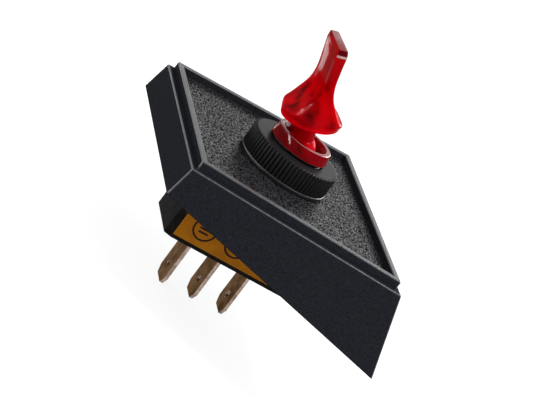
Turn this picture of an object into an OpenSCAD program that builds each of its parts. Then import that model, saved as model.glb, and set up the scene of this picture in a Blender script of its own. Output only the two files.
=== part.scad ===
// Lighted duckbill toggle switch fastened in a wedge-shaped mounting bracket.
// The origin is the centre of the bracket's foot. +Z points away from the foot,
// and +X runs from the low end of the wedge to the high end.

/* [Bracket] */
// Length of the foot from the low end to the high end
base_l = 55.2; // [52:0.1:66]
// Width of the foot at the low end
base_w_low = 48.8; // [42:0.1:58]
// Width of the foot at the high end
base_w_high = 60.3; // [52:0.1:70]
// Slope of the top in degrees
tilt = 11.2; // [8:0.1:14]
// Height of the low end wall from the foot to the ledge
low_h = 6.8; // [5:0.1:10]
// Length of the top along the slope
ledge_l = 47.3; // [43:0.1:50]
// Inward lean of the side walls in degrees
side_draft = 1.7; // [0.5:0.1:4]
// Thickness of the outer walls
wall_t = 1.8; // [1.2:0.1:2.6]
// Thickness of the panel that carries the switch
panel_t = 2.5; // [1.6:0.1:3.5]
// Width of the step that runs around the rim
ledge_w = 1.15; // [0.6:0.05:2]
// Height of the rim above the ledge
rim_h = 1.9; // [1.2:0.1:3]
// Thickness of the rim
rim_t = 1.3; // [0.8:0.1:2]
// Depth of the panel's face below the top of the rim
recess = 1.5; // [0.8:0.1:2.5]
// Place of the switch along the slope, from the middle of the top
switch_offset = 0.5; // [-2:0.1:2]

/* [Ring nut] */
// Outer radius of the plain lip
nut_r = 9.95; // [8.5:0.05:12]
// Height of the nut
nut_h = 5.3; // [3.5:0.1:6]
// Number of ribs around the nut
nut_ribs = 72; // [36:2:90]
// Depth of the grooves between the ribs
rib_depth = 0.4; // [0.2:0.05:0.7]
// Height of the plain lip below the ribs
nut_lip = 0.85; // [0.3:0.05:1.2]
// Distance that the lip stands out past the ribs
lip_step = 0.1; // [0.05:0.05:0.3]

/* [Case] */
// Length of the case along the slope
case_l = 29.4; // [25:0.1:34]
// Width of the case
case_w = 14; // [13.4:0.1:18]
// Height of the case below the panel
case_h = 18.6; // [17.5:0.1:24]
// Thickness of the case's walls
case_t = 1.6; // [1.2:0.1:1.8]
// Thickness of the case's top
case_top_t = 1.5; // [1:0.1:2]
// Length of the corner chamfer on the case's sides
corner_l = 1.5; // [0.5:0.1:3]
// Depth of the corner chamfer on the case's ends
corner_w = 0.8; // [0.3:0.1:1]
// Outer radius of the threaded neck
neck_r = 5.95; // [5.8:0.05:6.6]
// Height of the neck above the nut
neck_rise = 1.05; // [0.6:0.05:1.6]
// Radius of the bore in the neck
neck_bore_r = 5; // [4.9:0.05:5.2]
// Thickness of the board that closes the case
board_t = 1.6; // [1:0.1:2]
// Width of the shoulder that the board rests on
board_seat = 0.4; // [0.2:0.1:0.6]
// Depth of the board above the case's lower edge
board_inset = 0.3; // [0.1:0.1:0.8]

/* [Collar] */
// Radius of the collar's foot, which stands out past the neck
collar_foot_r = 6.45; // [6.2:0.05:7]
// Height of the ring that stands on the neck
collar_h = 1.9; // [1.4:0.1:3]
// Radius of the collar's bore
collar_bore_r = 4.3; // [4.2:0.05:4.4]
// Width of the chamfer at the collar's mouth
mouth_chamfer = 0.8; // [0.3:0.05:1]
// Depth of the collar's sleeve in the neck
sleeve_l = 4.85; // [3:0.05:5]

/* [Lever] */
// Lean of the lever from the switch's axis at rest, in degrees
lean = 16.5; // [12:0.5:17]
// Depth of the pivot below the top of the collar
pivot_depth = 2.35; // [2:0.05:2.6]
// Length from the pivot to the tip
lever_l = 23.3; // [19:0.1:28]
// Width of the bill at its tip
bill_w = 10.6; // [8:0.1:11]
// Width of the bill where it is narrowest
waist_w = 9.7; // [7.5:0.1:10]
// Height of the narrowest place above the pivot
waist_s = 16; // [13:0.1:17]
// Thickness of the bill at its tip
tip_t = 1.8; // [1:0.05:2.5]
// Length of the tip's taper
tip_l = 1.6; // [0.8:0.1:3]
// Thickness of the bill above the flare
bill_t = 2.9; // [2.2:0.1:3.4]
// Radius of the skirt
skirt_r = 6.1; // [5.6:0.1:6.6]
// Height of the skirt's lower face above the pivot
skirt_s = 5.75; // [5.5:0.05:6.5]
// Height of the skirt's widest edge above its lower face
skirt_edge = 1.25; // [0.8:0.05:1.8]
// Height above the pivot where the bill starts to flare
flare_s = 15.5; // [13.5:0.1:17]
// Radius of the lever's neck
lever_neck_r = 2.2; // [2:0.1:2.6]
// Radius of the pivot ball
ball_r = 3.3; // [3:0.1:3.6]
// Radius of the stem below the ball
stem_r = 2.5; // [2.4:0.05:2.6]
// Length of the stem below the pivot
stem_l = 6.5; // [6:0.1:6.8]
// Radius of the bore for the plunger
stem_bore_r = 1.9; // [1.85:0.05:1.95]
// Depth below the pivot where that bore ends
shoulder_depth = 1.2; // [1.1:0.05:1.6]
// Radius of the pivot pins
pin_r = 0.8; // [0.6:0.05:1]

/* [Light] */
// Radius of the light-emitting diode
led_r = 1.5; // [1.3:0.1:1.6]
// Height of the diode's foot above the pivot
led_s = 5.5; // [4:0.1:7]
// Length of the diode's straight part
led_l = 3.3; // [2.5:0.1:4]
// Radius of the diode's legs
leg_r = 0.25; // [0.2:0.05:0.3]
// Distance between the diode's legs
leg_pitch = 1.28; // [1.2:0.02:1.4]
// Thickness of the contact disc under the diode
disc_t = 0.3; // [0.2:0.05:0.4]
// Radius of the resistor
resistor_r = 0.7; // [0.5:0.05:0.7]
// Length of the resistor's body
resistor_l = 3.6; // [2.5:0.1:4.5]
// Radius of the resistor's leads
lead_r = 0.3; // [0.2:0.05:0.35]
// Thickness of the strip that earths the diode
strip_t = 0.3; // [0.2:0.05:0.35]
// Width of the strip
strip_w = 2; // [1.5:0.1:2.4]
// Width of the strip's arm to the resistor
strip_arm_w = 1.8; // [1:0.1:2.4]
// Depth of the arm below the rocker's pivot
strip_drop = 1.2; // [0.6:0.1:2]
// Distance of the resistor from the earth blade
resistor_out = 3; // [2:0.1:3.6]
// Length of the lead below the resistor
lead_l = 1.6; // [0.8:0.1:2]

/* [Contacts] */
// Distance from the pivot to the plunger's point
plunger_reach = 15; // [14.5:0.1:15.5]
// Radius of the plunger's rod
plunger_r = 1.2; // [1:0.05:1.3]
// Length of the plunger's head
plunger_head_l = 1.6; // [1.2:0.1:2]
// Radius of the spring's wire
spring_wire_r = 0.16; // [0.12:0.01:0.2]
// Number of turns in the spring
spring_turns = 5; // [3:1:7]
// Tilt of the rocker each way in degrees
rocker_tilt = 6; // [4:0.5:6]
// Slope of the rocker's trough in degrees
trough_slope = 22; // [22:0.5:24]
// Half length of the trough
trough_l = 4.6; // [4.4:0.1:5.2]
// Half length of the rocker
rocker_l = 8.7; // [8.5:0.1:9.4]
// Width of the rocker
rocker_w = 3.2; // [2.6:0.1:3.6]
// Thickness of the rocker strip
rocker_t = 0.5; // [0.4:0.05:0.7]
// Radius of the rocker's pivot
rocker_pin_r = 0.6; // [0.5:0.05:0.7]
// Radius of the contact rivets
contact_r = 1.2; // [1:0.1:1.3]
// Height of a contact rivet's head
contact_h = 0.6; // [0.4:0.05:0.8]
// Distance from the rocker's pivot to its contact
contact_arm = 7.2; // [7:0.1:7.4]
// Height of the plunger's lowest point above the rocker's pivot
fulcrum_drop = 1.15; // [1.1:0.05:1.6]
// Gap between the rocker and the ears that carry it
ear_gap = 0.4; // [0.2:0.1:0.6]
// Half length of an ear
ear_half_l = 1.6; // [1.2:0.1:2]
// Height of an ear from its web to the rocker's pivot
ear_h = 2.6; // [2.2:0.1:3.4]

/* [Terminals] */
// Distance between the blades
blade_pitch = 7.2; // [6.7:0.1:7.7]
// Width of a blade
blade_w = 6.3; // [4.8:0.1:6.5]
// Thickness of a blade
blade_t = 0.8; // [0.5:0.05:1]
// Length of a blade below the case
blade_l = 11.6; // [8:0.1:14]
// Radius of the hole in a blade
blade_hole_r = 0.85; // [0.5:0.05:1]
// Distance of the hole from the blade's end
blade_hole_s = 3.9; // [3.4:0.1:5]
// Width of the shoulder that holds a blade above the board
shoulder_w = 0.6; // [0.4:0.1:0.9]
// Chamfer across a blade's end
blade_point_w = 1.1; // [0.5:0.1:1.6]
// Chamfer along a blade's end
blade_point_l = 1.6; // [0.8:0.1:2.2]
// Length of the tab under the fixed contact
contact_tab_l = 3.4; // [2.8:0.1:4]

/* [Label] */
// Height of the label's lower edge above the case's lower edge
label_rise = 0.9; // [0.4:0.1:2]
// Height of the label
label_h = 13; // [9:0.1:15]
// Thickness of the label
label_t = 0.12; // [0.08:0.01:0.2]

/* [Clearances] */
// Gap between pieces that slide or turn on each other
running_gap = 0.05; // [0.03:0.01:0.08]
// Gap between pieces that are pushed together
fitting_gap = 0.02; // [0.01:0.01:0.05]
// Gap left open at a pair of closed contacts, and under the plunger
contact_gap = 0.1; // [0.08:0.01:0.15]

/* [Hidden] */
$fn = 64;

// Overlap that makes a cut or a union clean
eps = 0.5;
// Larger than any piece, for half spaces
reach = 200;

// Bracket's side profile, in the plane of X and Z
x_low = -base_l / 2;
x_high = base_l / 2;
ledge_end_x = x_low + ledge_l * cos(tilt);
ledge_end_z = low_h + ledge_l * sin(tilt);
end_run = (x_high - ledge_end_x) / ledge_end_z;
side_run = (base_w_high - base_w_low) / 2 / base_l;
side_turn = atan(side_run);
side_lean = atan(tan(side_draft) * cos(side_turn));
// Depth of the panel's underside below the ledge
under_ledge = recess + panel_t - rim_h;
inner_low_x = x_low + wall_t;
under_z0 = low_h - under_ledge / cos(tilt) - x_low * tan(tilt);
inner_high_x = x_high - wall_t * sqrt(1 + end_run * end_run);
inner_top_z = (under_z0 + inner_high_x * tan(tilt)) / (1 + end_run * tan(tilt));

// Half width of the bracket at a place along X and a height
function half_at(x, z) = base_w_low / 2 + (x - x_low) * side_run - z * tan(side_draft);
half_low = half_at(x_low, low_h);
half_high = half_at(ledge_end_x, ledge_end_z);
plan_run = (half_high - half_low) / ledge_l;
// Outline of the top in its own plane, moved inwards all round
function top_half(u, inset) =
    half_low + (u + ledge_l / 2) * plan_run - inset * sqrt(1 + plan_run * plan_run);
function top_outline(inset) =
    let (u = ledge_l / 2 - inset)
    [
        [-u, -top_half(-u, inset)],
        [u, -top_half(u, inset)],
        [u, top_half(u, inset)],
        [-u, top_half(-u, inset)]
    ];

// Heights along the switch's axis, from the plane of the rim's top
panel_z = -recess;
case_top_z = panel_z - panel_t;
case_low_z = case_top_z - case_h;
case_roof_z = case_top_z - case_top_t;
nut_top_z = panel_z + nut_h;
neck_top_z = nut_top_z + neck_rise;
collar_top_z = neck_top_z + collar_h;
pivot_z = collar_top_z - pivot_depth;
board_low_z = case_low_z + board_inset;
board_top_z = board_low_z + board_t;
blade_tip_z = case_low_z - blade_l;

// Inside of the case, and of the seat for the board
hall_l = case_l - 2 * case_t;
hall_w = case_w - 2 * case_t;
seat_l = hall_l + 2 * board_seat;
seat_w = hall_w + 2 * board_seat;

// Collar, ball and pins
collar_r = neck_r + running_gap;
sleeve_r = neck_bore_r - running_gap;
pin_end = sleeve_r - running_gap;
strip_v = pin_end + running_gap;
strip_out = strip_v + strip_t;

// Bore of the lever: the diode above, the plunger below a shoulder
led_bore_r = led_r + running_gap;
shoulder_s = -shoulder_depth;
disc_low_s = shoulder_s - disc_t;
plunger_low_s = -(stem_l - fitting_gap);
plunger_top_s = plunger_low_s + plunger_head_l;
leg_b = leg_pitch / 2;

// Flare of the lever from the bill down to the skirt
thick_flare = [2.2, 1.3];
wide_flare = [1.4, 1.9];
flare_steps = 10;
skirt_edge_s = skirt_s + skirt_edge;
skirt_round = 0.6;
function flare(t, law) = 1 - pow(1 - pow(t, law[0]), law[1]);
function flare_height(t, top) = top - t * (top - skirt_edge_s);
// Right half of an outline: the end's points, flare from start to skirt, rounded lower edge
function half_outline(end_points, start_half, start, law) = concat(
    end_points,
    [
        for (i = [0:flare_steps])
            let (t = i / flare_steps)
            [start_half + (skirt_r - start_half) * flare(t, law), flare_height(t, start)]
    ],
    [[skirt_r, skirt_s + skirt_round], [skirt_r - skirt_round, skirt_s]]
);
function mirrored(points) = [for (i = [len(points) - 1:-1:0]) [-points[i].x, points[i].y]];
function whole_outline(points) = concat(points, mirrored(points));
thick_end = [[tip_t / 2, lever_l], [bill_t / 2, lever_l - tip_l]];
wide_end = [[bill_w / 2, lever_l]];

// Rocker: trough depth that just clears the plunger as the lever swings
tip_centre = plunger_reach - plunger_r;
fulcrum_z = pivot_z - plunger_reach - fulcrum_drop;
function tip_x(a) = tip_centre * sin(a);
function tip_z(a) = pivot_z - fulcrum_z - tip_centre * cos(a);
function tip_room(a) =
    let (turn = rocker_tilt * a / lean)
    let (x = tip_x(a) * cos(turn) - tip_z(a) * sin(turn))
    let (z = tip_x(a) * sin(turn) + tip_z(a) * cos(turn))
    z - x * tan(trough_slope) - (plunger_r + contact_gap) / cos(trough_slope);
room_steps = 12;
trough_z = min([for (i = [0:room_steps]) tip_room(lean * i / room_steps)]);
wing_z = trough_z + trough_l * tan(trough_slope);
wing_low_z = wing_z - rocker_t;
ear_t = blade_t;
ear_v = rocker_w / 2 + ear_gap;
web_z = fulcrum_z - ear_h;

// Contacts: the fixed one lies just under the moving one when the lever is over
closed_z = fulcrum_z + (wing_low_z - contact_h) * cos(rocker_tilt)
    - (contact_arm + contact_r) * sin(rocker_tilt) - contact_gap;
tab_top_z = closed_z - contact_h;
shank_r = contact_r / 2;
inner_w = blade_w + 2 * shoulder_w;

// Resistor: stands on the earth blade's tab and touches the strip
resistor_u = blade_pitch + resistor_out;
resistor_v = strip_v - lead_r;
earth_tab_z = board_top_z + blade_t;
strip_low_z = fulcrum_z - strip_drop;
resistor_low_z = earth_tab_z + lead_l;
resistor_top_z = resistor_low_z + resistor_l;

// Frames that the pieces are placed in
module on_top() {
    translate([x_low, 0, low_h])
        rotate([0, -tilt, 0])
            translate([ledge_l / 2, 0, rim_h])
                children();
}

module at_switch() {
    on_top()
        translate([switch_offset, 0, 0])
            children();
}

module at_lever() {
    at_switch()
        translate([0, 0, pivot_z])
            rotate([0, -lean, 0])
                children();
}

module at_rocker() {
    at_switch()
        translate([0, 0, fulcrum_z])
            rotate([0, rocker_tilt, 0])
                children();
}

// Round bar along Z between two heights
module bar(r, low, high) {
    translate([0, 0, low])
        cylinder(r = r, h = high - low);
}

// Block from the low to the high corner
module block(low, high) {
    translate(low)
        cube(high - low);
}

// Outline in the plane of X and Z, as thick as given along Y
module upright(thickness) {
    rotate([90, 0, 0])
        linear_extrude(thickness, center = true)
            children();
}

// Outline in the plane of Y and Z, as thick as given along X
module crosswise(thickness) {
    rotate([90, 0, 90])
        linear_extrude(thickness, center = true)
            children();
}

// Room between the two side walls, moved inwards
module between_sides(inset) {
    intersection_for (side = [0, 1]) {
        mirror([0, side, 0])
            translate([x_low, base_w_low / 2, 0])
                rotate([0, 0, side_turn])
                    rotate([side_lean, 0, 0])
                        block([-reach, -reach, -reach], [reach, -inset, reach]);
    }
}

module wedge() {
    intersection() {
        between_sides(0);
        upright(reach)
            polygon([[x_low, 0], [x_high, 0], [ledge_end_x, ledge_end_z], [x_low, low_h]]);
    }
}

module wedge_hollow() {
    intersection() {
        between_sides(wall_t);
        upright(reach)
            polygon([
                [inner_low_x, -eps],
                [inner_high_x + eps * end_run, -eps],
                [inner_high_x - inner_top_z * end_run, inner_top_z],
                [inner_low_x, under_z0 + inner_low_x * tan(tilt)]
            ]);
    }
}

module bracket() {
    color([0.13, 0.13, 0.15])
        difference() {
            union() {
                wedge();
                on_top()
                    translate([0, 0, -rim_h - eps])
                        linear_extrude(rim_h + eps)
                            polygon(top_outline(ledge_w));
            }
            on_top()
                translate([0, 0, panel_z])
                    linear_extrude(recess + eps)
                        polygon(top_outline(ledge_w + rim_t));
            wedge_hollow();
            at_switch()
                bar(neck_r + 2 * running_gap, case_top_z - eps, panel_z + eps);
        }
}

// One rib and the groove beside it, as four points on the nut's outline,
// each at a share of the way from this rib to the next
function rib(i) =
    let (step = 360 / nut_ribs)
    let (crest = nut_r - lip_step)
    let (root = crest - rib_depth)
    [
        for (part = [[0.1, root], [0.4, crest], [0.7, crest], [1, root]])
            part[1] * [cos(step * (i + part[0])), sin(step * (i + part[0]))]
    ];

module ring_nut() {
    color([0.1, 0.1, 0.11])
        at_switch()
            difference() {
                union() {
                    bar(nut_r, panel_z, panel_z + nut_lip);
                    translate([0, 0, panel_z])
                        linear_extrude(nut_h)
                            polygon([for (i = [0:nut_ribs - 1]) each rib(i)]);
                }
                bar(neck_r + running_gap, panel_z - eps, nut_top_z + eps);
            }
}

// Case outline with its four corners chamfered
function case_outline() =
    let (l = case_l / 2)
    let (w = case_w / 2)
    [
        [-l + corner_l, -w], [l - corner_l, -w], [l, -w + corner_w], [l, w - corner_w],
        [l - corner_l, w], [-l + corner_l, w], [-l, w - corner_w], [-l, -w + corner_w]
    ];

module case() {
    color([0.09, 0.09, 0.1])
        at_switch()
            difference() {
                union() {
                    translate([0, 0, case_low_z])
                        linear_extrude(case_h)
                            polygon(case_outline());
                    bar(neck_r, case_top_z - eps, neck_top_z);
                }
                block([-hall_l / 2, -hall_w / 2, case_low_z - eps], [hall_l / 2, hall_w / 2, case_roof_z]);
                block([-seat_l / 2, -seat_w / 2, case_low_z - eps], [seat_l / 2, seat_w / 2, board_top_z]);
                bar(neck_bore_r, case_roof_z - eps, neck_top_z + eps);
                // Groove for the earth strip
                block(
                    [-strip_w / 2 - running_gap, 0, case_roof_z - eps],
                    [strip_w / 2 + running_gap, strip_out + running_gap, neck_top_z + eps]
                );
            }
}

module label() {
    color([0.85, 0.55, 0.08])
        at_switch()
            block(
                [-case_l / 2 + corner_l, -case_w / 2 - label_t, case_low_z + label_rise],
                [case_l / 2 - corner_l, -case_w / 2, case_low_z + label_rise + label_h]
            );
}

module collar() {
    color([0.75, 0.03, 0.05, 0.7])
        at_switch()
            difference() {
                union() {
                    translate([0, 0, neck_top_z])
                        cylinder(r1 = collar_foot_r, r2 = collar_r, h = collar_h);
                    bar(sleeve_r, neck_top_z - sleeve_l, neck_top_z + eps);
                }
                bar(collar_bore_r, neck_top_z - sleeve_l - eps, collar_top_z + eps);
                translate([0, 0, collar_top_z - mouth_chamfer])
                    cylinder(
                        r1 = collar_bore_r,
                        r2 = collar_bore_r + mouth_chamfer + eps,
                        h = mouth_chamfer + eps
                    );
                translate([0, 0, pivot_z])
                    rotate([90, 0, 0])
                        cylinder(r = pin_r + running_gap, h = 2 * (sleeve_r + eps), center = true);
            }
}

module bill() {
    intersection() {
        upright(2 * reach)
            polygon(whole_outline(half_outline(thick_end, bill_t / 2, flare_s, thick_flare)));
        crosswise(2 * reach)
            polygon(whole_outline(half_outline(wide_end, waist_w / 2, waist_s, wide_flare)));
        bar(skirt_r, 0, lever_l + eps);
    }
}

module lever() {
    color([0.8, 0.02, 0.04, 0.75])
        at_lever()
            difference() {
                union() {
                    bill();
                    bar(lever_neck_r, 0, skirt_s + eps);
                    sphere(ball_r);
                    bar(stem_r, -stem_l, 0);
                }
                bar(led_bore_r, shoulder_s - eps, led_s + led_l + led_r + running_gap);
                bar(stem_bore_r, -stem_l - eps, shoulder_s);
                rotate([90, 0, 0])
                    cylinder(r = pin_r + fitting_gap, h = 2 * ball_r + eps, center = true);
            }
}

// The earth pin reaches the diode's leg, the other stops in the ball's wall
module pivot_pins() {
    color([0.75, 0.6, 0.3])
        at_lever()
            for (pin = [[1, leg_b + leg_r + fitting_gap], [-1, stem_bore_r + fitting_gap]])
                rotate([-pin[0] * 90, 0, 0])
                    bar(pin_r, pin[1], pin_end);
}

module led() {
    color([0.85, 0.2, 0.2])
        at_lever() {
            bar(led_r, led_s, led_s + led_l);
            translate([0, 0, led_s + led_l])
                sphere(led_r);
            translate([0, -leg_b, 0])
                bar(leg_r, shoulder_s, led_s + eps);
            translate([0, leg_b, 0])
                bar(leg_r, -pin_r, led_s + eps);
        }
}

module led_contact() {
    color([0.8, 0.65, 0.3])
        at_lever()
            bar(stem_bore_r - fitting_gap, disc_low_s, shoulder_s);
}

module plunger() {
    color([0.78, 0.62, 0.28])
        at_lever() {
            bar(stem_bore_r - running_gap, plunger_low_s, plunger_top_s);
            bar(plunger_r, -tip_centre, plunger_low_s + eps);
            translate([0, 0, -tip_centre])
                sphere(plunger_r);
        }
}

// Round wire swept along a helix, as rings of points joined by faces
spring_ring = 14;
spring_sides = 6;
spring_mean_r = stem_bore_r - 2 * running_gap - spring_wire_r;
spring_low_s = plunger_top_s + spring_wire_r + fitting_gap;
spring_top_s = disc_low_s - spring_wire_r - fitting_gap;
spring_count = spring_turns * spring_ring;
function spring_point(i, j) =
    let (turn = 360 * i / spring_ring)
    let (side = 360 * j / spring_sides)
    let (r = spring_mean_r + spring_wire_r * cos(side))
    let (s = spring_low_s + (spring_top_s - spring_low_s) * i / spring_count)
    [r * cos(turn), r * sin(turn), s + spring_wire_r * sin(side)];
spring_points = [
    for (i = [0:spring_count])
        for (j = [0:spring_sides - 1])
            spring_point(i, j)
];
function spring_face(i, j) =
    let (k = (j + 1) % spring_sides)
    [
        i * spring_sides + j,
        (i + 1) * spring_sides + j,
        (i + 1) * spring_sides + k,
        i * spring_sides + k
    ];
spring_faces = concat(
    [[for (j = [0:spring_sides - 1]) j]],
    [
        for (i = [0:spring_count - 1])
            for (j = [0:spring_sides - 1])
                spring_face(i, j)
    ],
    [[for (j = [spring_sides - 1:-1:0]) spring_count * spring_sides + j]]
);

module plunger_spring() {
    color([0.7, 0.7, 0.72])
        at_lever()
            polyhedron(spring_points, spring_faces);
}

// Right half of the rocker's section: top of the trough, wing, and back along the underside
function rocker_half() = [
    [0, trough_z],
    [trough_l, wing_z],
    [rocker_l, wing_z],
    [rocker_l, wing_low_z],
    [trough_l + rocker_t * tan(trough_slope / 2), wing_low_z],
    [0, trough_z - rocker_t / cos(trough_slope)]
];

module rocker() {
    color([0.72, 0.45, 0.25])
        at_rocker()
            difference() {
                union() {
                    upright(rocker_w)
                        polygon(rocker_half());
                    upright(rocker_w)
                        polygon(mirrored(rocker_half()));
                    rotate([90, 0, 0])
                        cylinder(r = rocker_pin_r, h = 2 * (ear_v + ear_t), center = true);
                }
                translate([-contact_arm, 0, 0])
                    bar(shank_r + fitting_gap, wing_low_z - eps, wing_z + eps);
            }
}

// Rivet with its head below and its shank above, from the head's seat
module contact(shank_l) {
    bar(contact_r, -contact_h, 0);
    bar(shank_r, -contact_h / 2, shank_l);
}

module moving_contact() {
    color([0.85, 0.85, 0.86])
        at_rocker()
            translate([-contact_arm, 0, wing_low_z])
                contact(rocker_t);
}

module fixed_contact() {
    color([0.85, 0.85, 0.86])
        at_switch()
            translate([-blade_pitch, 0, tab_top_z])
                rotate([180, 0, 0])
                    contact(blade_t);
}

// Blade below the board with its shoulder above, up to the height given
module blade(u, top_z) {
    half = blade_w / 2;
    translate([u, 0, 0])
        crosswise(blade_t)
            difference() {
                polygon([
                    [-half + blade_point_w, blade_tip_z],
                    [half - blade_point_w, blade_tip_z],
                    [half, blade_tip_z + blade_point_l],
                    [half, board_top_z],
                    [inner_w / 2, board_top_z],
                    [inner_w / 2, top_z],
                    [-inner_w / 2, top_z],
                    [-inner_w / 2, board_top_z],
                    [-half, board_top_z],
                    [-half, blade_tip_z + blade_point_l]
                ]);
                translate([0, blade_tip_z + blade_hole_s])
                    circle(blade_hole_r);
            }
}

module supply_terminal() {
    color([0.55, 0.42, 0.36])
        at_switch()
            difference() {
                union() {
                    blade(-blade_pitch, tab_top_z);
                    block(
                        [-blade_pitch - contact_tab_l / 2, -inner_w / 2, tab_top_z - blade_t],
                        [-blade_pitch + contact_tab_l / 2, inner_w / 2, tab_top_z]
                    );
                }
                translate([-blade_pitch, 0, 0])
                    bar(shank_r + fitting_gap, tab_top_z - blade_t, tab_top_z + eps);
            }
}

module load_terminal() {
    ear_out = ear_v + ear_t;
    color([0.55, 0.42, 0.36])
        at_switch()
            difference() {
                union() {
                    blade(0, web_z + blade_t);
                    block([-ear_half_l, -ear_out, web_z], [ear_half_l, ear_out, web_z + blade_t]);
                    for (side = [-1, 1])
                        translate([0, side * (ear_v + ear_t / 2), 0]) {
                            block([-ear_half_l, -ear_t / 2, web_z], [ear_half_l, ear_t / 2, fulcrum_z]);
                            translate([0, 0, fulcrum_z])
                                rotate([90, 0, 0])
                                    cylinder(r = ear_half_l, h = ear_t, center = true);
                        }
                }
                translate([0, 0, fulcrum_z])
                    rotate([90, 0, 0])
                        cylinder(r = rocker_pin_r + running_gap, h = 2 * ear_out + eps, center = true);
            }
}

module earth_terminal() {
    color([0.55, 0.42, 0.36])
        at_switch() {
            blade(blade_pitch, earth_tab_z);
            block(
                [blade_pitch, -inner_w / 2, board_top_z],
                [resistor_u + 2 * lead_r, resistor_v + 2 * lead_r, earth_tab_z]
            );
        }
}

module terminal_board() {
    slot_t = blade_t + 2 * running_gap;
    slot_w = blade_w + 2 * running_gap;
    color([0.2, 0.13, 0.09])
        at_switch()
            difference() {
                block(
                    [-seat_l / 2 + running_gap, -seat_w / 2 + running_gap, board_low_z],
                    [seat_l / 2 - running_gap, seat_w / 2 - running_gap, board_top_z]
                );
                for (u = [-blade_pitch, 0, blade_pitch])
                    block(
                        [u - slot_t / 2, -slot_w / 2, board_low_z - eps],
                        [u + slot_t / 2, slot_w / 2, board_top_z + eps]
                    );
            }
}

module resistor() {
    color([0.8, 0.7, 0.5])
        at_switch()
            translate([resistor_u, resistor_v, 0]) {
                bar(resistor_r, resistor_low_z, resistor_top_z);
                bar(lead_r, earth_tab_z, strip_low_z + strip_arm_w);
            }
}

module earth_strip() {
    color([0.8, 0.65, 0.3])
        at_switch() {
            block([-strip_w / 2, strip_v, strip_low_z], [strip_w / 2, strip_out, neck_top_z - running_gap]);
            block(
                [-strip_w / 2, strip_v, strip_low_z],
                [resistor_u + 2 * lead_r, strip_out, strip_low_z + strip_arm_w]
            );
        }
}

bracket();
ring_nut();
case();
label();
collar();
lever();
pivot_pins();
led();
led_contact();
plunger();
plunger_spring();
rocker();
moving_contact();
fixed_contact();
supply_terminal();
load_terminal();
earth_terminal();
terminal_board();
resistor();
earth_strip();
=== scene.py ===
import math

import bmesh
import bpy
import numpy as np
from mathutils import Matrix, Quaternion, Vector


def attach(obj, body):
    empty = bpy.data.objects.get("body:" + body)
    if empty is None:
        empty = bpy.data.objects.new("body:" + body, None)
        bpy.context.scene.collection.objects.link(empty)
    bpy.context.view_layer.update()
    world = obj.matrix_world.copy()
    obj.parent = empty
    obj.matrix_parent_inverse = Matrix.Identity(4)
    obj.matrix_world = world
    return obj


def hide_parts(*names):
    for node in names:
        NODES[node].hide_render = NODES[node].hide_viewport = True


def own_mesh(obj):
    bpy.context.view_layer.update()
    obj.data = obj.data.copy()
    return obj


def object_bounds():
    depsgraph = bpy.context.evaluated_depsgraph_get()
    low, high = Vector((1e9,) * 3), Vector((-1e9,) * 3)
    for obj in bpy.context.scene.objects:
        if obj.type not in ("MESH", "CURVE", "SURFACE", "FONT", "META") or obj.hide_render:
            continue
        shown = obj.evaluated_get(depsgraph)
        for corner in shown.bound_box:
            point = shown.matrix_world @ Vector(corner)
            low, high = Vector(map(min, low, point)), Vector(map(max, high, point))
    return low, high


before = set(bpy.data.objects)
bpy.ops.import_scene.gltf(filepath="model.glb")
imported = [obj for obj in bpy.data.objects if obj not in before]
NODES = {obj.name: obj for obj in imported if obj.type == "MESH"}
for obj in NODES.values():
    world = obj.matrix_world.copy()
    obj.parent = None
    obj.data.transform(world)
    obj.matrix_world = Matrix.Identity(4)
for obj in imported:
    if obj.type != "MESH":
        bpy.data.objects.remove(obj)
cad_low, cad_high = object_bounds()

# Sizes of the part in millimetres, and its angles, as in its source
MM = 0.001
BASE_L = 55.2
LEDGE_L = 47.3
LOW_H = 6.8
TILT = math.radians(11.2)
LEAN = math.radians(16.5)
RIM_H = 1.9
PANEL_W = -1.5
NUT_R = 9.95
NUT_TOP = 3.8
NUT_LIP = 0.85
NUT_RIBS = 72
RIB_DEPTH = 0.4
LIP_STEP = 0.1
NECK_R = 5.95
NECK_TOP = 4.85
COLLAR_R = 6.0
COLLAR_FOOT_R = 6.45
COLLAR_TOP = 6.75
PIVOT_W = 4.4
CASE_W = 14.0
SWITCH_U = 0.5

# Frames of the sloping top, the switch and the lever, from millimetres to metres
PANEL = (
    Matrix.Translation((-BASE_L / 2 * MM, 0, LOW_H * MM))
    @ Matrix.Rotation(-TILT, 4, "Y")
    @ Matrix.Translation((LEDGE_L / 2 * MM, 0, RIM_H * MM))
    @ Matrix.Scale(MM, 4)
)
SWITCH = PANEL @ Matrix.Translation((SWITCH_U, 0, 0))
LEVER = SWITCH @ Matrix.Translation((0, 0, PIVOT_W)) @ Matrix.Rotation(-LEAN, 4, "Y")


# Meshes

# Points within the weld are one, in metres, and faces within the flat angle are one face
WELD = 2e-6
FLAT = math.radians(0.5)
# Edges that stand out by more than this angle are rounded
OUTER = math.radians(25)


def kept_mesh(name, bm, materials):
    mesh = bpy.data.meshes.new(name)
    bm.to_mesh(mesh)
    bm.free()
    for material in materials:
        mesh.materials.append(material)
    return mesh


def smooth(mesh, degrees):
    mesh.polygons.foreach_set("use_smooth", [True] * len(mesh.polygons))
    mesh.set_sharp_from_angle(angle=math.radians(degrees))


def closed_mesh(name, verts, faces, place, *materials):
    """Mesh of points in millimetres, placed by the matrix given, with its faces turned outwards."""
    bm = bmesh.new()
    made = [bm.verts.new(place @ Vector(v)) for v in verts]
    for face in faces:
        bm.faces.new([made[i] for i in face])
    bmesh.ops.recalc_face_normals(bm, faces=bm.faces)
    return kept_mesh(name, bm, materials)


def piece(name, mesh, body, slot, *nodes):
    """Object that rides on a body and stands for the nodes named."""
    obj = bpy.data.objects.new(name, mesh)
    bpy.context.scene.collection.objects.link(obj)
    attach(obj, body)
    if nodes:
        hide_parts(*nodes)
    return obj


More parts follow.
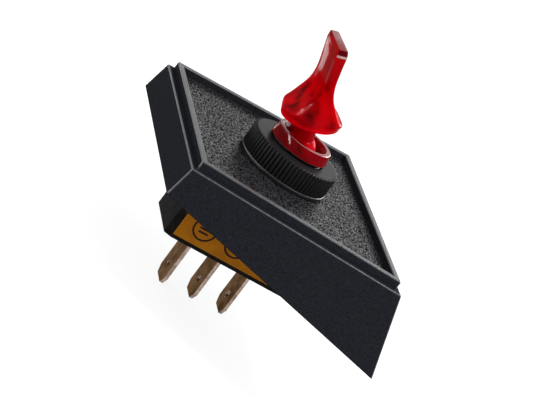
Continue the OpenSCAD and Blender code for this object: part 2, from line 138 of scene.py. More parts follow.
def ring_faces(rows, sides, loop=False):
    """Quads between rings of points that follow each other, and back to the first where it is a loop."""
    faces = []
    for i in range(rows if loop else rows - 1):
        a, b = i * sides, (i + 1) % rows * sides
        for j in range(sides):
            k = (j + 1) % sides
            faces.append((a + j, a + k, b + k, b + j))
    return faces


def turned(profile, sides):
    """Points of a closed profile of radius and height, turned round Z."""
    verts = []
    for r, z in profile:
        for j in range(sides):
            a = 2 * math.pi * j / sides
            verts.append((r * math.cos(a), r * math.sin(a), z))
    return verts, ring_faces(len(profile), sides, loop=True)


def smooth_curve(points):
    """Function through points of rising x, without overshoot between them."""
    x = np.array([p[0] for p in points], float)
    y = np.array([p[1] for p in points], float)
    h, d = np.diff(x), np.diff(y) / np.diff(x)
    m = np.zeros(len(x))
    m[0], m[-1] = d[0], d[-1]
    for i in range(1, len(x) - 1):
        if d[i - 1] * d[i] > 0:
            w1, w2 = 2 * h[i] + h[i - 1], h[i] + 2 * h[i - 1]
            m[i] = (w1 + w2) / (w1 / d[i - 1] + w2 / d[i])

    def at(v):
        i = int(min(max(np.searchsorted(x, v) - 1, 0), len(h) - 1))
        t = (v - x[i]) / h[i]
        return float(
            y[i] * (1 + 2 * t) * (1 - t) ** 2 + m[i] * h[i] * t * (1 - t) ** 2
            + y[i + 1] * t * t * (3 - 2 * t) + m[i + 1] * h[i] * t * t * (t - 1)
        )

    return at


def cad_copy(node, *materials):
    """Mesh of a node, welded, with whole flat faces and its outer edges marked for a bevel."""
    bm = bmesh.new()
    bm.from_mesh(NODES[node].data)
    bmesh.ops.remove_doubles(bm, verts=bm.verts, dist=WELD)
    bmesh.ops.dissolve_limit(bm, angle_limit=FLAT, verts=bm.verts, edges=bm.edges)
    weight = bm.edges.layers.float.new("bevel_weight_edge")
    for edge in bm.edges:
        if edge.is_manifold and edge.calc_face_angle_signed() > OUTER:
            edge[weight] = 1.0
    return kept_mesh(node + "_copy", bm, materials)


def worked(mesh, *modifiers):
    """Mesh after the modifiers given as kind and settings."""
    obj = bpy.data.objects.new("work", mesh)
    bpy.context.scene.collection.objects.link(obj)
    for kind, settings in modifiers:
        modifier = obj.modifiers.new(kind, kind)
        for key, value in settings.items():
            setattr(modifier, key, value)
    bpy.context.view_layer.update()
    result = bpy.data.meshes.new_from_object(obj.evaluated_get(bpy.context.evaluated_depsgraph_get()))
    bpy.data.objects.remove(obj)
    return result


def bevel(width, segments, slot=-1):
    return ("BEVEL", {
        "width": width * MM, "segments": segments, "limit_method": "WEIGHT", "harden_normals": True,
        "material": slot, "use_clamp_overlap": True,
    })


# Materials

class Graph:
    """Material with one principled shader and the nodes that feed it."""

    def __init__(self, name):
        self.material = bpy.data.materials.new(name)
        self.material.use_nodes = True
        self.tree = self.material.node_tree
        self.tree.nodes.clear()
        self.output = self.tree.nodes.new("ShaderNodeOutputMaterial")
        self.shader = self.tree.nodes.new("ShaderNodeBsdfPrincipled")
        self.tree.links.new(self.shader.outputs["BSDF"], self.output.inputs["Surface"])
        self.place = self.tree.nodes.new("ShaderNodeTexCoord").outputs["Object"]

    def link(self, source, target):
        self.tree.links.new(source, target)

    def feed(self, source, socket):
        self.link(source, self.shader.inputs[socket])

    def fix(self, **values):
        for key, value in values.items():
            self.shader.inputs[key.replace("_", " ")].default_value = value

    def stretched(self, scale):
        node = self.tree.nodes.new("ShaderNodeMapping")
        node.inputs["Scale"].default_value = scale
        self.link(self.place, node.inputs["Vector"])
        return node.outputs["Vector"]

    def noise(self, size, detail=4, rough=0.55, where=None):
        """Noise with features of about the size given in millimetres."""
        node = self.tree.nodes.new("ShaderNodeTexNoise")
        node.inputs["Scale"].default_value = 1 / (size * MM)
        node.inputs["Detail"].default_value = detail
        node.inputs["Roughness"].default_value = rough
        self.link(where or self.place, node.inputs["Vector"])
        return node.outputs["Fac"]

    def lying(self, matrix, stretch):
        """Place in a turned frame, with its texture drawn out along the frame's axes."""
        node = self.tree.nodes.new("ShaderNodeMapping")
        node.vector_type = "TEXTURE"
        node.inputs["Location"].default_value = matrix.translation
        node.inputs["Rotation"].default_value = matrix.to_euler()
        node.inputs["Scale"].default_value = stretch
        self.link(self.place, node.inputs["Vector"])
        return node.outputs["Vector"]

    def along(self, matrix, axis):
        """Distance along one axis of a turned frame, in metres."""
        node = self.tree.nodes.new("ShaderNodeSeparateXYZ")
        self.link(self.lying(matrix, (1, 1, 1)), node.inputs["Vector"])
        return node.outputs[axis]

    def pick(self, operation, first, *others):
        """Largest or smallest of some numbers, by the operation MAXIMUM or MINIMUM."""
        for other in others:
            node = self.tree.nodes.new("ShaderNodeMath")
            node.operation = operation
            self.link(first, node.inputs[0])
            self.link(other, node.inputs[1])
            first = node.outputs["Value"]
        return first

    def mixed(self, factor, first, colour):
        """Colour that goes over to a second one as the factor goes from 0 to 1."""
        node = self.tree.nodes.new("ShaderNodeMix")
        node.data_type = "RGBA"
        # The colour kind has its factor at 0, its two colours at 6 and 7, and its result at 2
        self.link(factor, node.inputs[0])
        self.link(first, node.inputs[6])
        node.inputs[7].default_value = (*colour, 1)
        return node.outputs[2]

    def ramp(self, factor, *stops):
        node = self.tree.nodes.new("ShaderNodeValToRGB")
        node.color_ramp.elements.remove(node.color_ramp.elements[1])
        for i, (at, colour) in enumerate(stops):
            element = node.color_ramp.elements[0] if i == 0 else node.color_ramp.elements.new(at)
            element.position = at
            element.color = (*colour, 1) if len(colour) == 3 else (*colour * 3, 1)
        self.link(factor, node.inputs["Fac"])
        return node.outputs["Color"]

    def levels(self, factor, low, high, start=0.3, end=0.7):
        """Number that goes from low to high as the factor goes from start to end."""
        node = self.tree.nodes.new("ShaderNodeMapRange")
        for key, value in (("From Min", start), ("From Max", end), ("To Min", low), ("To Max", high)):
            node.inputs[key].default_value = value
        self.link(factor, node.inputs["Value"])
        return node.outputs["Result"]

    def rise(self, distance, low, high, span):
        """Number that goes from low to high over a span given in millimetres."""
        return self.levels(distance, low, high, span[0] * MM, span[1] * MM)

    def bump(self, height, depth, strength=1.0, under=None):
        """Bump of the depth given in millimetres, over another one where there are two."""
        node = self.tree.nodes.new("ShaderNodeBump")
        node.inputs["Strength"].default_value = strength
        node.inputs["Distance"].default_value = depth * MM
        self.link(height, node.inputs["Height"])
        if under:
            self.link(under, node.inputs["Normal"])
        return node.outputs["Normal"]


BROAD_SIZE = 9


def moulded(name, dark, light, grain, depth, roughness, specular, coat=0.0):
    """Black moulded plastic with a grain of the size and depth given in millimetres."""
    g = Graph(name)
    fine, broad = g.noise(grain, 3, 0.6), g.noise(BROAD_SIZE, 3)
    g.feed(g.ramp(fine, (0.35, dark), (0.68, light)), "Base Color")
    g.feed(g.levels(broad, roughness - 0.05, roughness + 0.06), "Roughness")
    g.feed(g.bump(fine, depth), "Normal")
    g.fix(Specular_IOR_Level=specular, Coat_Weight=coat, Coat_Roughness=0.3)
    return g.material


def grained(name, dark, light, grain, depth, gloss):
    """Moulded plastic with a coarse leathery grain, whose high spots are pale and glossy; the pale speckle is
    partly grain tone and partly a painted highlight for glints on the grain.
    """
    g = Graph(name)
    fine, coarse = g.noise(grain, 2, 0.5), g.noise(grain * 2.6, 2)
    g.feed(g.ramp(fine, (0.47, dark), (0.64, light)), "Base Color")
    g.feed(g.levels(coarse, 0.42, 0.58), "Roughness")
    g.feed(g.levels(fine, 0.0, gloss, 0.44, 0.62), "Coat Weight")
    g.feed(g.bump(fine, depth, 1.0, g.bump(coarse, depth, 0.5)), "Normal")
    g.fix(Specular_IOR_Level=0.0, Coat_Roughness=0.35)
    return g.material


# Heights along the lever where its look changes, and distances out from its middle, in millimetres
# GLOW_END: where the painted glow of the skirt's foot fades out
GLOW_END = (6.3, 9)
SPOTS_START = (7.2, 8.4)
SPOTS_END = (11.8, 13.5)
SKIRT_GLOSS_END = (10.5, 12.5)
BILL_GLOSS_START = (15.9, 16.9)
# The bill is painted darker over BILL_DIM, and the skirt's ends over FLANK_OUT, as painted shade
BILL_DIM = (13, 17)
FLANK_OUT = (3.4, 5.6)
# How far each of these goes, as a share
BILL_DIM_MOST = 0.3
FLANK_MOST = 0.8
FLANK_COAT = 0.2
DIM_SHARE = 0.4
# Painted dark spots inside the lever, painted shade for dark parts seen through it: size and place of their
# noise in millimetres, and where it turns dark
SPOT_SIZE = 3.6
SPOT_SHIFT = 8.0
SPOT_NOISE = (0.27, 0.46)
SPOT_MOST = 0.9
SPOT_SHARE = 0.12
STREAK_SIZE = 2.6
STREAK_DRAWN = (1, 1, 2.5)
RIPPLE_SIZE = 3.5
RED_LIGHT = (1, 0.001, 0.02, 1)
RED_DEPTH = (0.94, 0.05, 0.06, 1)
# Near 1, so light passes almost unbent
CLEAR_IOR = 1.01


def tinted(name, deep, pale, clear, roughness, coat, density=100, glow=0.0, flank_shade=None):
    """Clear red plastic with flow streaks along the lever, moulding ripple and a glossy skin.

    The flank_shade colour is for the lever: its skirt is painted darker towards the ends it swings to, as
    painted shade, with more coat there; it has painted dark spots inside, painted shade for dark parts seen
    through it; and its bill is painted darker, as painted shade.
    """
    g = Graph(name)
    streak = g.noise(STREAK_SIZE, 2, 0.5, g.lying(LEVER, STREAK_DRAWN))
    dim = tuple(DIM_SHARE * value for value in deep)
    colour = g.ramp(streak, (0.28, dim), (0.36, deep), (0.6, pale))
    if flank_shade:
        out, up = g.along(LEVER, "X"), g.along(LEVER, "Z")
        # Painted shade: the bill is painted darker
        colour = g.mixed(g.rise(up, 0, BILL_DIM_MOST, BILL_DIM), colour, dim)
        # Painted shade: dark spots in the skirt's upper part
        shifted = LEVER @ Matrix.Translation((0, 0, SPOT_SHIFT))
        spots = g.noise(SPOT_SIZE, 1, 0.4, g.lying(shifted, (1, 1, 1)))
        painted_spots = g.pick(
            "MINIMUM",
            g.levels(spots, SPOT_MOST, 0, *SPOT_NOISE),
            g.rise(up, 0, 1, SPOTS_START),
            g.rise(up, 1, 0, SPOTS_END),
        )
        colour = g.mixed(painted_spots, colour, tuple(SPOT_SHARE * value for value in deep))
        # Painted shade: the skirt's ends are painted darker
        colour = g.mixed(g.rise(out, 0, FLANK_MOST, FLANK_OUT), colour, flank_shade)
        gloss = g.pick(
            "MAXIMUM",
            g.rise(up, coat, 0, SKIRT_GLOSS_END),
            g.rise(up, 0, coat, BILL_GLOSS_START),
            g.rise(out, 0, FLANK_COAT, FLANK_OUT),
        )
        g.feed(gloss, "Coat Weight")
        # Painted light: the lowest part of the skirt glows, fading out over GLOW_END
        g.feed(g.rise(up, glow, 0, GLOW_END), "Emission Strength")
    g.feed(colour, "Base Color")
    g.feed(g.levels(streak, roughness, roughness + 0.04), "Roughness")
    g.feed(g.bump(g.noise(RIPPLE_SIZE, 1), 0.02, 0.5), "Normal")
    g.fix(Transmission_Weight=clear, IOR=CLEAR_IOR, Specular_IOR_Level=0.0)
    g.fix(Coat_Weight=coat, Coat_Roughness=0.02)
    # Any glow is painted light, for light carried through the clear plastic
    g.fix(Emission_Color=RED_LIGHT, Emission_Strength=glow)
    inside = g.tree.nodes.new("ShaderNodeVolumeAbsorption")
    inside.inputs["Color"].default_value = RED_DEPTH
    inside.inputs["Density"].default_value = density
    g.link(inside.outputs["Volume"], g.output.inputs["Volume"])
    return g.material


def metal(name, dark, light, roughness, stretch=(1, 1, 1), patch=1.2, edge=(1, 1, 1)):
    """Metal with drawn lines along one direction and patches of tarnish."""
    g = Graph(name)
    lines = g.noise(0.25, 4, 0.6, g.stretched(stretch))
    stain = g.noise(patch, 4, 0.6)
    g.feed(g.ramp(stain, (0.36, dark), (0.62, light)), "Base Color")
    g.feed(g.levels(stain, roughness + 0.1, roughness - 0.08), "Roughness")
    g.feed(g.bump(lines, 0.012, 0.8), "Normal")
    g.fix(Metallic=1.0, Specular_Tint=(*edge, 1))
    return g.material


def coated(name, dark, light, size, roughness, depth=0.01, specular=0.5):
    """Plain opaque finish with a mottle of the size given in millimetres."""
    g = Graph(name)
    mottle = g.noise(size, 4)
    g.feed(g.ramp(mottle, (0.32, dark), (0.68, light)), "Base Color")
    g.feed(g.levels(mottle, roughness - 0.05, roughness + 0.08), "Roughness")
    g.feed(g.bump(mottle, depth), "Normal")
    g.fix(Specular_IOR_Level=specular)
    return g.material


wall_black = moulded("wall_black", (0.016, 0.0168, 0.0212), (0.029, 0.0298, 0.0368),
                     grain=0.4, depth=0.012, roughness=0.6, specular=0.0, coat=0.03)
panel_black = grained("panel_black", (0.006, 0.006, 0.0065), (0.050, 0.050, 0.054),
                      grain=0.36, depth=0.05, gloss=0.75)
# Paler than the walls: a painted highlight on the rounded outer edges
edge_black = moulded("edge_black", (0.03, 0.031, 0.034), (0.07, 0.072, 0.076),
                     grain=0.7, depth=0.006, roughness=0.36, specular=0.4)
# Paler than the walls: painted light on the rim tops, and a painted highlight line on the nut's lip
rim_black = moulded("rim_black", (0.03, 0.031, 0.033), (0.06, 0.062, 0.064),
                    grain=0.4, depth=0.01, roughness=0.42, specular=0.25)
nut_black = moulded("nut_black", (0.010, 0.0095, 0.0105), (0.016, 0.0155, 0.0165),
                    grain=0.3, depth=0.01, roughness=0.45, specular=0.0, coat=0.1)
nut_face = moulded("nut_face", (0.010, 0.010, 0.011), (0.020, 0.020, 0.021),
                   grain=0.35, depth=0.008, roughness=0.38, specular=0.04)
case_black = moulded("case_black", (0.003, 0.0026, 0.0024), (0.023, 0.0185, 0.0165),
                     grain=1.1, depth=0.03, roughness=0.45, specular=0.0, coat=0.08)
red_lever = tinted("red_lever", (0.54, 0.0003, 0.002), (0.78, 0.0006, 0.005),
                   clear=0.42, roughness=0.04, coat=0.045, glow=0.11, flank_shade=(0.40, 0.002, 0.005))
# Dark band at the tip's lower edge: painted shade
red_lip_shade = tinted("red_lip_shade", (0.15, 0.0005, 0.006), (0.22, 0.0006, 0.008),
                 clear=0.3, roughness=0.04, coat=0.045)
# Pale band under the tip: a painted highlight
red_band_glint = coated("red_band_glint", (0.62, 0.34, 0.32), (0.85, 0.62, 0.58),
                   size=0.5, roughness=0.5, depth=0.01, specular=0.1)
# Foot and stem: painted brighter than the lever, the foot also glowing, as painted light on their shaded
# underside
red_foot = tinted("red_foot", (0.80, 0.0006, 0.004), (0.95, 0.001, 0.008),
                  clear=0.42, roughness=0.04, coat=0.0, glow=0.11)
red_stem = tinted("red_stem", (0.66, 0.0004, 0.003), (0.84, 0.0008, 0.007),
                  clear=0.25, roughness=0.04, coat=0.06)
red_bore = tinted("red_bore", (0.90, 0.5, 0.5), (0.95, 0.6, 0.6),
                  clear=1.0, roughness=0.02, coat=0.0)
red_ridge = tinted("red_ridge", (0.58, 0.006, 0.008), (0.70, 0.01, 0.012),
                   clear=0.42, roughness=0.04, coat=0.5)
red_tip = coated("red_tip", (0.17, 0.030, 0.027), (0.28, 0.058, 0.052),
                 size=0.7, roughness=0.3, depth=0.01, specular=0.1)
red_collar = tinted("red_collar", (0.28, 0.0004, 0.003), (0.42, 0.0006, 0.006),
                    clear=0.45, roughness=0.06, coat=0.06)
red_rim = tinted("red_rim", (0.28, 0.0005, 0.004), (0.42, 0.0006, 0.006),
                 clear=0.45, roughness=0.06, coat=0.6)
# Pale pinkish collar edges: a painted highlight
red_edge_glint = coated("red_edge_glint", (0.30, 0.10, 0.09), (0.44, 0.20, 0.19),
                  size=0.8, roughness=0.35)
blade_metal = metal("blade_metal", (0.040, 0.025, 0.018), (0.113, 0.073, 0.052),
                    roughness=0.42, stretch=(1, 1, 0.1), patch=2.6, edge=(0.7, 0.55, 0.42))
# Paler metal: partly bare cut metal, partly a painted highlight
blade_cut_glint = metal("blade_cut_glint", (0.20, 0.145, 0.11), (0.40, 0.31, 0.26),
                  roughness=0.32, stretch=(1, 1, 0.1), patch=1.2)
brass = metal("brass", (0.50, 0.34, 0.13), (0.74, 0.55, 0.25),
              roughness=0.28, stretch=(1, 1, 0.2))
copper = metal("copper", (0.45, 0.22, 0.12), (0.66, 0.37, 0.22),
               roughness=0.3, stretch=(0.2, 1, 1))
silver = metal("silver", (0.62, 0.62, 0.62), (0.84, 0.84, 0.83),
               roughness=0.25)
spring_steel = metal("spring_steel", (0.42, 0.42, 0.44), (0.60, 0.60, 0.62),
                     roughness=0.25)
amber = coated("amber_film", (0.60, 0.19, 0.003), (0.80, 0.28, 0.006),
               size=3.5, roughness=0.4, depth=0.004, specular=0.1)
ink = coated("label_ink", (0.012, 0.006, 0.003), (0.03, 0.014, 0.006),
             size=0.6, roughness=0.5, depth=0.004, specular=0.1)
board_brown = coated("board_brown", (0.06, 0.03, 0.018), (0.12, 0.065, 0.035),
                     size=0.7, roughness=0.55)
lacquer = coated("resistor_lacquer", (0.45, 0.34, 0.20), (0.62, 0.50, 0.32),
                 size=0.6, roughness=0.35)
led_resin = tinted("led_resin", (0.90, 0.2, 0.2), (0.95, 0.3, 0.3),
                   density=200, clear=1.0, roughness=0.04, coat=0.05)


# Bracket: the moulding with rounded edges, a grained panel, satin rim tops painted paler as lit tops, and
# outer edges painted paler as a highlight
WALL, GRAIN, EDGE_GLINT, SATIN_LIT_TOP = range(4)
# Edges at the foot keep the wall colour, without the painted highlight
FOOT_EDGE = 0.6
LEVEL_GAP = 0.05
bracket_copy = cad_copy("bracket", wall_black, panel_black, edge_black, rim_black)
bracket_mesh = worked(bracket_copy, bevel(width=0.25, segments=3, slot=EDGE_GLINT))
to_panel = PANEL.inverted()
for polygon in bracket_mesh.polygons:
    height = (to_panel @ polygon.center).z
    if polygon.material_index == EDGE_GLINT and polygon.center.z < FOOT_EDGE * MM:
        polygon.material_index = WALL
    elif polygon.material_index == WALL and abs(height - PANEL_W) < LEVEL_GAP:
        polygon.material_index = GRAIN
    elif polygon.material_index == WALL and abs(height) < LEVEL_GAP:
        polygon.material_index = SATIN_LIT_TOP
piece("bracket_moulding", bracket_mesh, "base", "bracket_plastic", "bracket")

# Ring nut: ribs with round crests, a plain lip below whose upper edge is painted paler as a highlight line,
# and a bevelled top
RIB_STEPS = 10
RIB_SIDES = NUT_RIBS * RIB_STEPS
RIB_POWER = 0.7
NUT_FIT = 0.05
NUT_EDGE = 0.12


def rib_rise(j):
    """Height of a rib as a share of its depth, round on top and sharper in the groove."""
    return abs(math.sin(math.pi * j / RIB_STEPS)) ** RIB_POWER


def nut_ring(r, z, ribbed):
    points = []
    for j in range(RIB_SIDES):
        a = 2 * math.pi * j / RIB_SIDES
        rr = r - RIB_DEPTH * (1 - rib_rise(j)) if ribbed else r
        points.append((rr * math.cos(a), rr * math.sin(a), z))
    return points


crest = NUT_R - LIP_STEP
lip_top = PANEL_W + NUT_LIP
nut_bore = NECK_R + NUT_FIT
nut_profile = [
    (nut_bore, PANEL_W, False), (NUT_R - NUT_EDGE, PANEL_W, False), (NUT_R, PANEL_W + NUT_EDGE, False),
    (NUT_R, lip_top - NUT_EDGE, False), (crest, lip_top, False),
    (crest, lip_top + 0.02, True), (crest, NUT_TOP - 0.22, True), (crest - 0.08, NUT_TOP - 0.07, True),
    (crest - 0.24, NUT_TOP, True), (crest - 0.8, NUT_TOP, False), (NECK_R + 0.35, NUT_TOP, False),
    (nut_bore, NUT_TOP - 0.3, False),
]
nut_verts = [p for row in nut_profile for p in nut_ring(*row)]
nut_mesh = closed_mesh("ring_nut", nut_verts, ring_faces(len(nut_profile), RIB_SIDES, loop=True), SWITCH,
                       nut_black, nut_face, rim_black)
NUT_FACE, NUT_LIP_GLINT = 1, 2
for polygon in nut_mesh.polygons:
    height = (to_panel @ polygon.center).z
    if height > NUT_TOP - 0.04:
        polygon.material_index = NUT_FACE
    # The lip's upper edge row takes the paler rim colour as a painted highlight line
    elif abs(height - (lip_top - NUT_EDGE / 2)) < LEVEL_GAP:
        polygon.material_index = NUT_LIP_GLINT
smooth(nut_mesh, degrees=40)
piece("nut_ribbed", nut_mesh, "base", "nut_plastic", "ring_nut")

# Case: the moulding with rounded outer edges and a thread cut into its neck
THREAD_PITCH = 0.75
THREAD_DEPTH = 0.42
THREAD_STEPS = 40
THREAD_HALF = 0.36
THREAD_OVER = 0.3
THREAD_SPARE = 2
THREAD_START = 0.6
thread_turns = int((NECK_TOP - PANEL_W + THREAD_SPARE) / THREAD_PITCH)
cutter_rows = [
    (NECK_R - THREAD_DEPTH, 0), (NECK_R + THREAD_OVER, THREAD_HALF), (NECK_R + THREAD_OVER, -THREAD_HALF),
]
cutter_verts = []
for i in range(thread_turns * THREAD_STEPS + 1):
    a = 2 * math.pi * i / THREAD_STEPS
    z = PANEL_W - THREAD_START + THREAD_PITCH * i / THREAD_STEPS
    for r, dz in cutter_rows:
        cutter_verts.append((r * math.cos(a), r * math.sin(a), z + dz))
cutter_faces = ring_faces(thread_turns * THREAD_STEPS + 1, 3)
last = thread_turns * THREAD_STEPS * 3
cutter_faces += [(0, 1, 2), (last, last + 1, last + 2)]
cutter_mesh = closed_mesh("thread_cutter", cutter_verts, cutter_faces, SWITCH)
cutter = bpy.data.objects.new("thread_cutter", cutter_mesh)
bpy.context.scene.collection.objects.link(cutter)
case_mesh = worked(
    cad_copy("case", case_black), bevel(width=0.15, segments=2),
    ("BOOLEAN", {"object": cutter, "operation": "DIFFERENCE", "solver": "EXACT"}),
)
bpy.data.objects.remove(cutter)
smooth(case_mesh, degrees=30)
piece("case_moulding", case_mesh, "base", "case_plastic", "case")

# Label: the film and a generic print of rings and bars
label_mesh = worked(cad_copy("label", amber), bevel(width=0.05, segments=2))
piece("label_sheet", label_mesh, "base", "label_film", "label")
LABEL_T = 0.12
LABEL_V = -CASE_W / 2 - LABEL_T
PRINT_T = 0.03
PRINT_SINK = 0.01
RING_STEPS = 48
RING_PLACES = (-8.2, -0.6, 7.0)
RING_W = -17.7
RING_R = 2.65
RING_LINE = 0.4
BAR_LENGTHS = (1.6, 2.6, 2.1)
BAR_TOP = -16.85
BAR_STEP = 0.85
BAR_LINE = 0.42
print_verts, print_faces = [], []


def print_strip(painted_spots, outer, closed):
    """Thin strip of ink between two rows of points on the label."""
    start, count = len(print_verts), len(painted_spots)
    for i in range(count):
        for u, w in (painted_spots[i], outer[i]):
            print_verts.append((u, LABEL_V + PRINT_SINK, w))
            print_verts.append((u, LABEL_V - PRINT_T, w))
    for i in range(count if closed else count - 1):
        a, b = start + 4 * i, start + 4 * ((i + 1) % count)
        print_faces.extend([
            (a + 1, a + 3, b + 3, b + 1), (a, b, b + 2, a + 2),
            (a, a + 1, b + 1, b), (a + 2, b + 2, b + 3, a + 3),
        ])
    if not closed:
        a, b = start, start + 4 * (count - 1)
        print_faces.extend([(a, a + 2, a + 3, a + 1), (b, b + 1, b + 3, b + 2)])


def print_ring(u, w, r, width):
    turn = [2 * math.pi * i / RING_STEPS for i in range(RING_STEPS)]
    print_strip(
        [(u + (r - width) * math.cos(a), w + (r - width) * math.sin(a)) for a in turn],
        [(u + r * math.cos(a), w + r * math.sin(a)) for a in turn], True,
    )


def print_bar(u, w, length, width):
    print_strip(
        [(u - length / 2, w - width / 2), (u + length / 2, w - width / 2)],
        [(u - length / 2, w + width / 2), (u + length / 2, w + width / 2)], False,
    )


for ring_u in RING_PLACES:
    print_ring(ring_u, RING_W, RING_R, RING_LINE)
    for k, bar_l in enumerate(BAR_LENGTHS):
        print_bar(ring_u, BAR_TOP - BAR_STEP * k, bar_l, BAR_LINE)
print_mesh = closed_mesh("label_print", print_verts, print_faces, SWITCH, ink)
piece("label_print", print_mesh, "base", "label_film")

# Collar: clear red cone with a flat rim, a lip over the neck's edge and a sleeve in the neck
SLEEVE_LOW = 0.0
SLEEVE_R = 4.95
SLEEVE_BORE_R = 4.3
COLLAR_LOW = NECK_TOP - 0.5
COLLAR_FIT = 0.04
COLLAR_EDGE = 0.1
COLLAR_SIDES = 96
MOUTH_R = 5.2
# Middle and half width of the glossy part of the rim
RIM_MID = 5.55
RIM_HALF = 0.36
collar_profile = [
    (SLEEVE_BORE_R, SLEEVE_LOW), (SLEEVE_R, SLEEVE_LOW), (SLEEVE_R, NECK_TOP),
    (NECK_R + COLLAR_FIT, NECK_TOP), (NECK_R + COLLAR_FIT, COLLAR_LOW),
    (COLLAR_FOOT_R - COLLAR_EDGE, COLLAR_LOW), (COLLAR_FOOT_R, COLLAR_LOW + COLLAR_EDGE),
    (COLLAR_R + 0.05, COLLAR_TOP - 0.22), (COLLAR_R, COLLAR_TOP - 0.08), (COLLAR_R - COLLAR_EDGE, COLLAR_TOP),
    (MOUTH_R, COLLAR_TOP), (MOUTH_R - 0.12, COLLAR_TOP - 0.05), (4.42, COLLAR_TOP - 0.68),
    (4.33, COLLAR_TOP - 0.8), (SLEEVE_BORE_R, COLLAR_TOP - 0.95),
]
collar_verts, collar_faces = turned(collar_profile, COLLAR_SIDES)
collar_mesh = closed_mesh("collar", collar_verts, collar_faces, SWITCH, red_collar, red_edge_glint, red_rim)
COLLAR_GLINT, COLLAR_RIM = 1, 2
to_switch = SWITCH.inverted()
for polygon in collar_mesh.polygons:
    # The rim's inner and outer edges and the foot's edge are painted pale, as a painted highlight
    at = to_switch @ polygon.center
    if abs(at.z - (COLLAR_TOP - 0.04)) < LEVEL_GAP:
        off_middle = abs(math.hypot(at.x, at.y) - RIM_MID)
        polygon.material_index = COLLAR_GLINT if off_middle > RIM_HALF else COLLAR_RIM
    elif abs(at.z - (COLLAR_LOW + COLLAR_EDGE / 2)) < 0.02:
        polygon.material_index = COLLAR_GLINT
smooth(collar_mesh, degrees=40)
piece("collar_ring", collar_mesh, "base", "red_clear", "collar")

# Lever: one loft from the thin wide bill to the round skirt, neck, ball and stem, and back up the bore
LEVER_L = 23.36
SKIRT = [(5.7, 4.4), (5.74, 5.25), (5.88, 5.75), (6.15, 6.02), (6.6, 6.1)]
half_thick = smooth_curve(SKIRT + [
    (6.8, 6.12), (7.4, 6.05), (8, 5.72), (8.7, 4.8), (9.5, 4), (10.5, 3.25), (11.5, 2.6), (12.75, 1.98),
    (14, 1.66), (15.5, 1.52), (17, 1.45), (19, 1.43), (21, 1.4), (22.2, 1.3), (23.2, 0.98),
])
half_wide = smooth_curve(SKIRT + [
    (6.8, 6.1), (8.2, 6.05), (9.5, 5.9), (11, 5.65), (13, 5.3), (16, 4.85), (20, 5), (23.2, 5.3),
])
boxiness = smooth_curve([
    (5.7, 2), (6.6, 2), (7.2, 2.4), (8, 3.8), (9, 5.6), (10, 7), (11.5, 8), (14, 9), (18, 10), (23.2, 10),
])
set_over = smooth_curve([(5.7, 0), (6.5, 0.12), (23.2, 0.13)])
crown = smooth_curve([(5.7, 0), (10.5, 0), (13, 0.16), (16, 0.33), (20, 0.22), (23.2, 0)])
LEVER_SIDES = 128
TIP_OVER = 0.13
TIP_BOX = 10
NECKED_R = 2.2
BALL_R = 3.3
BALL_STEPS = 12
STEM_R = 2.5
SPRING_BORE_R = 1.9
BORE_R = 1.55
BORE_LOW = -1.2
BORE_TOP = 8.8
DOME_STEPS = 6
# Heights of the glossy ridge, of the pale band under the tip that is a painted highlight, of the skirt's foot
# and of the bore's skin
RIDGE = (16.0, 20.6)
BAND_GLINT = (21.8, 22.4)
FOOT = (5.45, 6.3)
BORE_SKIN = (-1.1, 11)
BORE_SKIN_R = 1.56
# Share of a quarter turn from the corner, and place across, that bound the ridge and the pale band of painted
# highlight
RIDGE_CORNER = 0.05
BAND_GLINT_CORNER = 0.15
BAND_GLINT_Y = 4.9
BAND_GLINT_X = -0.85


def lever_ring(a, b, power, s, over=0.0, swell=0.0):
    """Ring of a boxy oval whose wide faces stand proud along the middle by the swell given."""
    points = []
    spread = 2 / min(power, 4)
    for j in range(LEVER_SIDES):
        t = 2 * math.pi * (j + 0.5) / LEVER_SIDES
        c = math.copysign(abs(math.cos(t)) ** spread, math.cos(t))
        d = math.copysign(abs(math.sin(t)) ** spread, math.sin(t))
        size = (abs(c) ** power + abs(d) ** power) ** (-1 / power)
        x, y = a * size * c, b * size * d
        x *= 1 - swell / a * (y / b) ** 2
        points.append((x + over, y, s))
    return points


lever_rings = [
    (0.82, 5.12, TIP_BOX, LEVER_L, TIP_OVER), (0.9, 5.22, TIP_BOX, LEVER_L - 0.05, TIP_OVER),
]
loft_heights = [
    *np.linspace(23.2, 16, 16), *np.linspace(15.6, 7.6, 36),
    7.35, 7.1, 6.85, 6.6, 6.35, 6.15, 6.0, 5.88, 5.8, 5.74, 5.715, 5.7,
]
for s in loft_heights:
    lever_rings.append((half_thick(s), half_wide(s), boxiness(s), s, set_over(s), crown(s)))
round_profile = [
    (3.5, 5.66), (2.9, 5.5), (2.5, 5.2), (2.28, 4.8), (NECKED_R, 4.3), (NECKED_R, 2.9),
]
ball_start, ball_end = math.acos(NECKED_R / BALL_R), -math.acos(STEM_R / BALL_R)
for k in range(BALL_STEPS + 1):
    e = ball_start + (ball_end - ball_start) * k / BALL_STEPS
    round_profile.append((BALL_R * math.cos(e), BALL_R * math.sin(e)))
round_profile += [
    (STEM_R, -2.6), (STEM_R, -6.3), (2.4, -6.48), (2.0, -6.5), (SPRING_BORE_R, -6.4),
    (SPRING_BORE_R, -1.25), (1.85, BORE_LOW), (BORE_R, BORE_LOW), (BORE_R, BORE_TOP),
]
for k in range(1, DOME_STEPS):
    e = math.pi / 2 * k / DOME_STEPS
    round_profile.append((BORE_R * math.cos(e), BORE_TOP + BORE_R * math.sin(e)))
lever_rings += [(r, r, 2, s) for r, s in round_profile]
lever_verts = [p for row in lever_rings for p in lever_ring(*row)]
lever_faces = ring_faces(len(lever_rings), LEVER_SIDES)
lever_faces.append(tuple(range(LEVER_SIDES)))
top = len(lever_verts)
lever_verts.append((0, 0, BORE_TOP + BORE_R))
